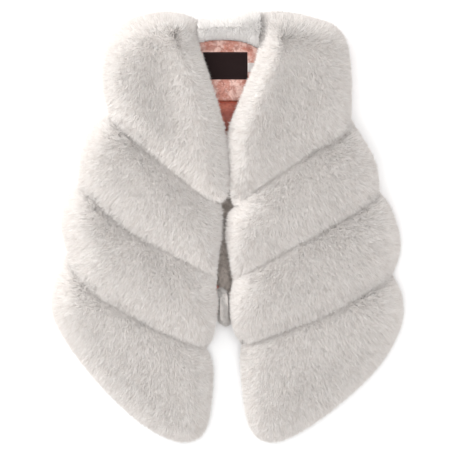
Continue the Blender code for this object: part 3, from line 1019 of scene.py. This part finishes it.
    def brushed(self, form: FurForm, closed: Array, neck: Array) -> Array:
        """How far the tips are brushed in plan.

        Args:
            form: The piece's form.
            closed: How far the pile closes over a seam at each point.
            neck: How near each point is to the collar's ends, 0 to 1.

        Returns:
            The shift of each tip: down the nap, out at the free edges and over the seams.
        """
        far, way, near_edge, out = form.far, form.way, form.near_edge, form.out
        nap = unit(form.plan - np.array([self.fan_side, self.fan_height]))
        inward = np.minimum((nap * out).sum(1), 0) * (1 - smooth_step(near_edge / self.INWARD_BY))
        spread = self.OUTWARD * np.exp(-near_edge / self.OUTWARD_BY)
        nap += (spread - inward)[:, None] * out
        nap /= np.maximum(lengths(nap), 1)
        bell = np.exp(-((np.maximum(far - self.pull_at, 0) / self.pull_wide) ** 2))
        along = smooth_step(0.5 + (nap * way).sum(1))
        held = self.STAND + (1 - self.STAND) * closed
        held *= np.exp(-((far / self.STAND_WIDE) ** 2)) * (1 - along)
        pull = bell * along * (1 - self.NECK_PULL * neck)
        shift = self.lay * (1 - pull - held)[:, None] * nap + self.pull * pull[:, None] * way
        shift *= (smooth_step(near_edge / self.edge_fade) * (1 - self.NECK_CALM * neck))[:, None]
        slit = self.SLIT * self.uneven(form.plan) - self.FRINGE
        slit -= self.OVERLAP * closed + self.neck_overlap * neck
        over = np.maximum((shift * way).sum(1) - np.maximum(far - slit, 0), 0)
        over *= 1 - self.NECK_OVER * neck
        return shift - over[:, None] * way

    def closed(self, plan: Array) -> tuple[Array, Array]:
        """How far the pile closes over a seam.

        Args:
            plan: Plan points.

        Returns:
            0 to 1 towards the vest's sides, and 0 to 1 towards the collar's ends.
        """
        side = np.abs(plan[:, 0])
        high = smooth_step((plan[:, 1] - self.NECK_LOW) / self.NECK_RISE)
        neck = high * smooth_step((self.NECK_SIDE - side) / self.NECK_FADE)
        outer = smooth_step((side - self.FADE_FROM) / (self.FADE_TO - self.FADE_FROM))
        return np.maximum(outer, neck), neck

    @staticmethod
    def uneven(plan: Array) -> Array:
        """Factor on a seam's width that changes along it, as two slow waves."""
        x, y = plan.T / MM
        return 1 + 0.55 * np.sin(0.11 * x + 0.07 * y) + 0.45 * np.sin(0.043 * x - 0.19 * y + 1.0)

    def met(self, form: FurForm, tips: Array) -> Array:
        """The tips, pushed out over the free edge where the fronts meet, but less near a seam."""
        x, y = form.plan.T
        share = smooth_step(1 - form.near_edge / self.MEET_WIDE) * (np.abs(x) < self.meet_side)
        share *= smooth_step((y - self.meet_low) / self.MEET_FADE)
        share *= smooth_step((self.meet_high - y) / self.MEET_FADE)
        if self.meet_seam:
            share *= smooth_step(form.far / self.meet_seam)
        tips[:, :2] += self.meet * share[:, None] * form.out
        return tips

    def backing(self, pelt: Mesh, finish: Material, under: Material) -> Object:
        """The pelt itself as a piece, with its flat underside in a finish of its own."""
        mesh = pelt.copy()
        for spare in PELT_DATA:
            mesh.attributes.remove(mesh.attributes[spare])
        mesh.materials.clear()
        mesh.materials.append(finish)
        if under is not finish:
            mesh.materials.append(under)
            for face in mesh.polygons:
                face.material_index = int(face.normal.z < self.FACES_DOWN)
        mesh.shade_smooth()
        return new_object(f"{self.node}_pelt", mesh)

    def declare(self, backing: Object) -> None:
        mesh = backing.data
        plan = vertex_array(mesh)[:, :2]


@dataclass
class Front:
    """One front: four fur strips sewn in a chevron."""

    side: Side
    strips: int = 4
    pile: Pile = Pile(
        depth=12 * MM, density=1_830_000, width=1.3 * MM, spread=4.2 * MM, clump=2.5 * MM,
        clump_size=3 * MM)
    fan_height: float = 110 * MM
    fan_side: float = 40 * MM
    meet_seam: float = 14 * MM

    def build(self, grower: StandingFur, finishes: Finishes) -> None:
        """Builds the strips from the shoulder to the hem."""
        for number in range(1, self.strips + 1):
            node = f"{self.side.name.lower()}_front_{number}"
            _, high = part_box(node)
            is_flap = number == self.strips
            piece = FurPiece(
                node, "front_fur", self.pile, Comb.TO_SEAMS,
                seed=100 * number + (self.side is Side.LEFT) * 10,
                lay=(10 if is_flap else 9) * MM,
                fan_height=float(high[1]) + self.fan_height,
                fan_side=self.side.value * self.fan_side,
                meet_seam=self.meet_seam,
            )
            piece.build(grower, finishes.front_fur, finishes.front_pelt, finishes.rose_print)


@dataclass
class Collar:
    """Standing fur collar at the back of the neck."""

    pile: Pile = Pile(
        depth=9 * MM, density=2_500_000, width=1.3 * MM, spread=5.5 * MM, clump=3 * MM)

    def build(self, grower: StandingFur, finishes: Finishes) -> None:
        """Builds the collar, sewn to the fronts at its two ends."""
        piece = FurPiece(
            "neck_collar", "collar_fur", self.pile, Comb.TO_SEAMS, 900, (1.0, 0.0), lay=0.5 * MM,
            fan_height=10.0, edge_fade=14 * MM, pull=5 * MM, pull_at=2 * MM, pull_wide=8 * MM,
            meet_side=60 * MM, meet_low=0.285, meet_high=1.0, neck_overlap=3 * MM, neck_drop=0.0,
            bow=0.25, steepest=0.4)
        piece.build(grower, finishes.collar_fur, finishes.front_pelt, finishes.front_pelt)


@dataclass
class Facing:
    """Fur facing of the right front's edge, in two lengths, both greyed as painted shade of the gap
    between the fronts, the upper one darker.
    """

    high_pile: Pile = Pile(
        depth=5 * MM, density=3_000_000, width=0.9 * MM, spread=1.5 * MM, clump=3 * MM)
    low_pile: Pile = Pile(
        depth=9 * MM, density=3_500_000, width=1.0 * MM, spread=2.0 * MM, clump=3 * MM)

    def build(self, grower: StandingFur, finishes: Finishes) -> None:
        """Builds both lengths."""
        high = FurPiece(
            "front_facing_high", "facing_fur", self.high_pile, Comb.TO_SEAMS, 910,
            hidden_under=True, lay=6 * MM, edge_fade=4 * MM, meet_low=-1.0, meet_high=1.0)
        low = FurPiece(
            "front_facing_low", "facing_fur", self.low_pile, Comb.TO_SEAMS, 920,
            hidden_under=True, lay=3 * MM, edge_fade=4 * MM, meet=5 * MM, meet_low=-1.0,
            meet_high=1.0)
        high.build(grower, finishes.facing_fur, finishes.facing_pelt, finishes.facing_pelt)
        low.build(grower, finishes.low_strip_painted_shade, finishes.front_pelt, finishes.front_pelt)


@dataclass
class Back:
    """Fur back, pressed flat under the fronts."""

    edge: float = 14 * MM
    pile: Pile = Pile(depth=6 * MM, density=1_200_000, width=1.5 * MM, spread=2 * MM, clump=3 * MM)

    def build(self, grower: StandingFur, finishes: Finishes) -> None:
        """Builds the back."""
        piece = FurPiece(
            "back_panel", "back_fur", self.pile, Comb.STRAIGHT, 930, (0.0, 0.0), self.edge)
        piece.build(grower, finishes.front_fur, finishes.pressed_fur, finishes.pressed_fur)


# Cloth pieces


@dataclass(frozen=True)
class Crease:
    """Soft ridge or hollow along a line of the lining."""

    start: tuple[float, float]
    end: tuple[float, float]
    height: float
    half: float

    def rise(self, plan: Array) -> Array:
        """Height that it adds at plan points."""
        start, end = np.array(self.start), np.array(self.end)
        run = end - start
        share = np.clip((plan - start) @ run / (run @ run), 0, 1)
        far = np.linalg.norm(plan - start - share[:, None] * run, axis=1)
        taper = np.sin(np.pi * (0.1 + 0.8 * share))
        return self.height * taper * np.exp(-((far / self.half) ** 2))


NECK_CREASES = (
    Crease((-0.040, 0.2665), (0.046, 0.2660), 1.6 * MM, 2.4 * MM),
    Crease((-0.012, 0.282), (-0.004, 0.268), -1.0 * MM, 3.0 * MM),
    Crease((0.030, 0.276), (0.044, 0.262), -1.3 * MM, 2.6 * MM),
    Crease((-0.022, 0.208), (0.022, 0.222), 0.9 * MM, 4.0 * MM),
    Crease((-0.016, 0.196), (0.018, 0.1945), 1.8 * MM, 3.4 * MM),
    Crease((0.006, 0.216), (0.016, 0.200), -0.9 * MM, 2.6 * MM),
    Crease((-0.003, 0.187), (-0.002, 0.146), 5.5 * MM, 2.6 * MM),
    Crease((0.006, 0.186), (0.003, 0.156), -1.0 * MM, 1.8 * MM),
)


@dataclass
class ClothPiece:
    """Thin cloth on the top face of its solid."""

    node: str
    slot: str
    thick: float = 0.6 * MM
    cuts: int = 3

    FACES_UP = 0.5
    FILLED = 0.999

    def build(self, finish: Material) -> None:
        bm = merged_node(self.node)
        low = [f for f in bm.faces if f.normal.z < self.FACES_UP]
        bmesh.ops.delete(bm, geom=low, context="FACES")
        loose = [v for v in bm.verts if not v.link_faces]
        bmesh.ops.delete(bm, geom=loose, context="VERTS")
        join_cells(bm)
        bmesh.ops.subdivide_edges(bm, edges=bm.edges, cuts=self.cuts, use_grid_fill=True)
        mesh = bpy.data.meshes.new(self.node)
        bm.to_mesh(mesh)
        bm.free()
        points = vertex_array(mesh)
        points[:, 2] += sum(crease.rise(points[:, :2]) for crease in NECK_CREASES)
        mesh.vertices.foreach_set("co", points.ravel())
        mesh.update()
        area = sum(p.area for p in mesh.polygons)
        mesh.materials.append(finish)
        mesh.shade_smooth()
        made = new_object(f"{self.node}_cloth", mesh)
        wall = made.modifiers.new("wall", "SOLIDIFY")
        wall.thickness = self.thick
        wall.offset = -1.0
        attach(made)
        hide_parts(self.node)
        width, length = np.ptp(points[:, :2], axis=0)
        flat = (round(float(width), 4), round(float(length), 4))
        area = min(float(area), self.FILLED * flat[0] * flat[1])
        LOG.info("%s: %d faces", made.name, len(mesh.polygons))


@dataclass
class NeckTapes:
    """Woven label and size tag, sewn on the lining under the collar."""

    label_colour: Colour = (0.014, 0.006, 0.006)
    label_band: Colour = (0.034, 0.020, 0.020)
    tag_colour: Colour = (0.82, 0.78, 0.76)
    tag_band: Colour = (0.66, 0.60, 0.58)
    thick: float = 0.4 * MM

    def build(self) -> None:
        """Builds the label and the tag, both bare."""
        for node, slot, colour, band in (
            ("neck_label", "black_label", self.label_colour, self.label_band),
            ("size_tag", "white_tag", self.tag_colour, self.tag_band),
        ):
            low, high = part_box(node)
            centre = tuple((a + b) / 2 for a, b in zip(low[:2], high[:2]))
            half = tuple((b - a) / 2 for a, b in zip(low[:2], high[:2]))
            finish = WovenFinish(f"{slot}_weave", colour, band, centre, half).material()
            ClothPiece(node, slot, self.thick).build(finish)


# Studio


@dataclass
class Studio:
    """Pale floor, soft lights and the camera, straight above."""

    view_centre: tuple[float, float] = (0.00375, -0.00375)
    view_level: float = 45 * MM
    view_width: float = 690 * MM
    camera_height: float = 3.2
    sensor: float = 36.0
    floor_half: float = 6.0
    world: float = 0.64
    key: float = 66.0
    top: float = 46.0

    def build(self) -> None:
        """Builds the floor, the lights and the camera."""
        bm = bmesh.new()
        bmesh.ops.create_grid(bm, x_segments=8, y_segments=8, size=self.floor_half)
        mesh = bpy.data.meshes.new("floor")
        bm.to_mesh(mesh)
        bm.free()
        mesh.materials.append(FloorFinish("pale_floor").material())
        new_object("floor", mesh)
        self.light("key", (-2.3, 1.5, 1.4), 1.7, self.key, (1.0, 0.995, 0.985))
        self.light("overhead", (0.1, -0.2, 2.9), 2.4, self.top, (1.0, 1.0, 1.0))
        self.sky()
        self.camera()

    def light(self, name: str, place: tuple[float, float, float], size: float, power: float,
              colour: Colour) -> None:
        """Adds a square area light aimed at the vest."""
        lamp = bpy.data.lights.new(name, "AREA")
        lamp.shape, lamp.size, lamp.energy, lamp.color = "SQUARE", size, power, colour
        made = bpy.data.objects.new(name, lamp)
        made.location = place
        made.rotation_euler = Vector(place).to_track_quat("Z", "Y").to_euler()
        bpy.context.scene.collection.objects.link(made)

    def sky(self) -> None:
        """Gives the room its even pale light."""
        world = bpy.data.worlds.new("studio")
        world.use_nodes = True
        graph = Graph(world.node_tree)
        values = {"Color": (1.0, 1.0, 1.0, 1.0), "Strength": self.world}
        glow = graph.add("ShaderNodeBackground", {}, values)
        graph.add("ShaderNodeOutputWorld", {}, {"Surface": glow})
        bpy.context.scene.world = world
        bpy.context.scene.view_settings.view_transform = "Standard"

    def camera(self) -> None:
        """Adds the camera."""
        lens = bpy.data.cameras.new("camera")
        lens.sensor_width = self.sensor
        lens.lens = self.sensor * (self.camera_height - self.view_level) / self.view_width
        made = bpy.data.objects.new("camera", lens)
        made.location = (*self.view_centre, self.camera_height)
        bpy.context.scene.collection.objects.link(made)
        bpy.context.scene.camera = made


def plain(box: tuple) -> list[list[float]]:
    """A box as plain lists of numbers."""
    return [[float(x) for x in corner] for corner in box]


def main() -> None:
    """Builds every piece of the vest in order."""
    logging.basicConfig(level=logging.INFO, format="%(name)s: %(message)s")
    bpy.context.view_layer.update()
    finishes = Finishes()
    grower = StandingFur()
    Back().build(grower, finishes)
    ClothPiece("lining_yoke", "printed_lining").build(finishes.rose_print)
    ClothPiece("lining_body", "printed_lining").build(finishes.rose_print_painted_shade)
    NeckTapes().build()
    Facing().build(grower, finishes)
    for side in Side:
        Front(side).build(grower, finishes)
    Collar().build(grower, finishes)
    grower.clear()
    Studio().build()


if __name__ == "__main__":
    main()
